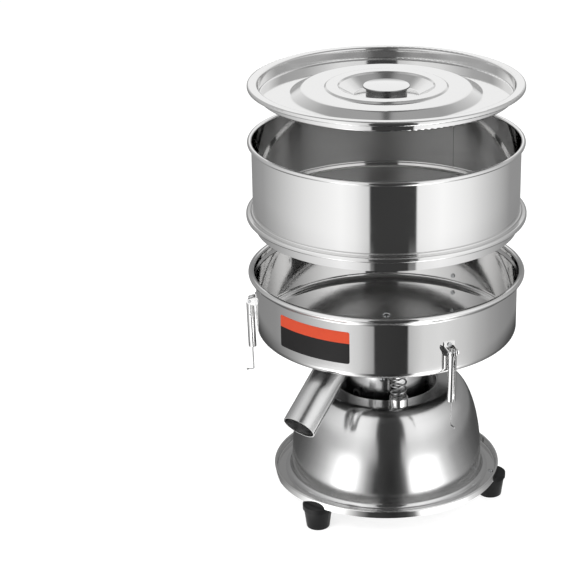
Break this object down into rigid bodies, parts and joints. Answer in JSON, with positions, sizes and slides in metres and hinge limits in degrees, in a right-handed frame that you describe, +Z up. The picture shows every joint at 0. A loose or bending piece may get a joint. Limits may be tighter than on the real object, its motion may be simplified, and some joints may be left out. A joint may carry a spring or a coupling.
{
  "type": "vibrating sieve",
  "caption": "Electric vibrating powder sieve: lifted lid and sieve drum over a pan with a slanted outlet spout, carried by springs on a domed motor housing with feet.",
  "frame": {"origin": "on the floor, on the axis of the round stack", "axes": "+Z up along the stack's axis, -Y towards the front, which the picture shows"},
  "size_m": [0.3213, 0.3152, 0.4998],
  "materials": {
    "polished_stainless": "mirror polished",
    "satin_stainless": "satin, brushed round the axis",
    "mesh_stainless": "woven wire",
    "zinc_steel": "bright zinc",
    "spring_steel": "bright",
    "black_rubber": "matte",
    "white_silicone": "matte",
    "black_plastic": "fine texture",
    "rocker_plastic": "gloss",
    "grey_plastic": "plain",
    "cable_black": "matte",
    "copper_wire": "lacquered",
    "lamination_steel": "stacked sheet",
    "weight_iron": "plain",
    "bearing_steel": "ground"
  },
  "bodies": {
    "base": {"base_tray": "polished_stainless", "rubber_feet": "black_rubber", "foot_screws": "zinc_steel", "foot_washers": "zinc_steel", "foot_nuts": "zinc_steel", "bowl_housing": "satin_stainless", "spring_cups": "polished_stainless", "cup_screws": "zinc_steel", "cup_nuts": "zinc_steel", "support_springs": "spring_steel", "terminal_box": "grey_plastic", "switch_body": "black_plastic", "cable_gland": "black_plastic", "gland_nut": "black_plastic"},
    "rocker": {"switch_rocker": "rocker_plastic"},
    "pan": {"pan_shell": "polished_stainless", "spout_tube": "satin_stainless", "spring_upper_seats": "zinc_steel", "latch_plates": "polished_stainless", "latch_rivets": "zinc_steel", "latch_pivot_pins": "zinc_steel", "motor_can": "satin_stainless", "can_bolts": "zinc_steel", "can_nuts": "zinc_steel", "stator_core": "lamination_steel", "stator_winding": "copper_wire", "stator_screws": "zinc_steel", "upper_bearing_bracket": "zinc_steel", "lower_bearing_bracket": "zinc_steel", "motor_bearings": "bearing_steel", "motor_end_cap": "satin_stainless", "end_cap_screws": "zinc_steel", "lead_grommet": "black_rubber", "motor_lead": "cable_black"},
    "rotor": {"motor_shaft": "bearing_steel", "rotor_core": "lamination_steel", "upper_eccentric_weight": "weight_iron", "lower_eccentric_weight": "weight_iron", "weight_screws": "zinc_steel"},
    "drum": {"drum_shell": "polished_stainless", "drum_skirt": "polished_stainless", "screen_seal": "white_silicone", "mesh_screen": "mesh_stainless", "screen_clamp_ring": "polished_stainless"},
    "lid": {"lid_shell": "polished_stainless", "lid_knob": "polished_stainless", "lid_knob_screw": "zinc_steel"},
    "lever_1": {"latch_lever_1": "polished_stainless", "latch_hook_pin_1": "zinc_steel"},
    "hook_1": {"latch_hook_1": "spring_steel"},
    "lever_2": {"latch_lever_2": "polished_stainless", "latch_hook_pin_2": "zinc_steel"},
    "hook_2": {"latch_hook_2": "spring_steel"},
    "lever_3": {"latch_lever_3": "polished_stainless", "latch_hook_pin_3": "zinc_steel"},
    "hook_3": {"latch_hook_3": "spring_steel"}
  },
  "joints": [
    {"name": "pan_bounce", "type": "slide", "parent": "base", "child": "pan", "axis": [0, 0, 1], "range_m": [-0.005, 0.003], "stiffness_N_per_m": 20000, "springref_m": 0.0036, "deforming": ["support_springs", "motor_lead"]},
    {"name": "rotor_spin", "type": "hinge", "parent": "pan", "child": "rotor", "pos_m": [0, 0, 0.1468], "axis": [0, 0, 1], "continuous": true},
    {"name": "drum_lift", "type": "slide", "parent": "pan", "child": "drum", "axis": [0, 0, 1], "range_m": [-0.0635, 0]},
    {"name": "lid_lift", "type": "slide", "parent": "drum", "child": "lid", "axis": [0, 0, 1], "range_m": [-0.059, 0]},
    {"name": "lever_1_swing", "type": "hinge", "parent": "pan", "child": "lever_1", "pos_m": [0.0715, -0.14033, 0.2368], "axis": [-0.891, -0.454, 0], "range_deg": [0, 150]},
    {"name": "hook_1_swing", "type": "hinge", "parent": "lever_1", "child": "hook_1", "pos_m": [0.0713, -0.13994, 0.21991], "axis": [0.891, 0.454, 0], "range_deg": [-177.5, 0]},
    {"name": "lever_2_swing", "type": "hinge", "parent": "pan", "child": "lever_2", "pos_m": [0.08578, 0.13209, 0.2368], "axis": [0.8387, -0.5446, 0], "range_deg": [0, 150]},
    {"name": "hook_2_swing", "type": "hinge", "parent": "lever_2", "child": "hook_2", "pos_m": [0.08554, 0.13172, 0.21991], "axis": [-0.8387, 0.5446, 0], "range_deg": [-177.5, 0]},
    {"name": "lever_3_swing", "type": "hinge", "parent": "pan", "child": "lever_3", "pos_m": [-0.15728, 0.00824, 0.2368], "axis": [0.0523, 0.9986, 0], "range_deg": [0, 150]},
    {"name": "hook_3_swing", "type": "hinge", "parent": "lever_3", "child": "hook_3", "pos_m": [-0.15684, 0.00822, 0.21991], "axis": [-0.0523, -0.9986, 0], "range_deg": [-177.5, 0]},
    {"name": "switch_press", "type": "hinge", "parent": "base", "child": "rocker", "pos_m": [0.03766, 0.10346, 0.0673], "axis": [0.9397, -0.342, 0], "range_deg": [0, 18]}
  ]
}
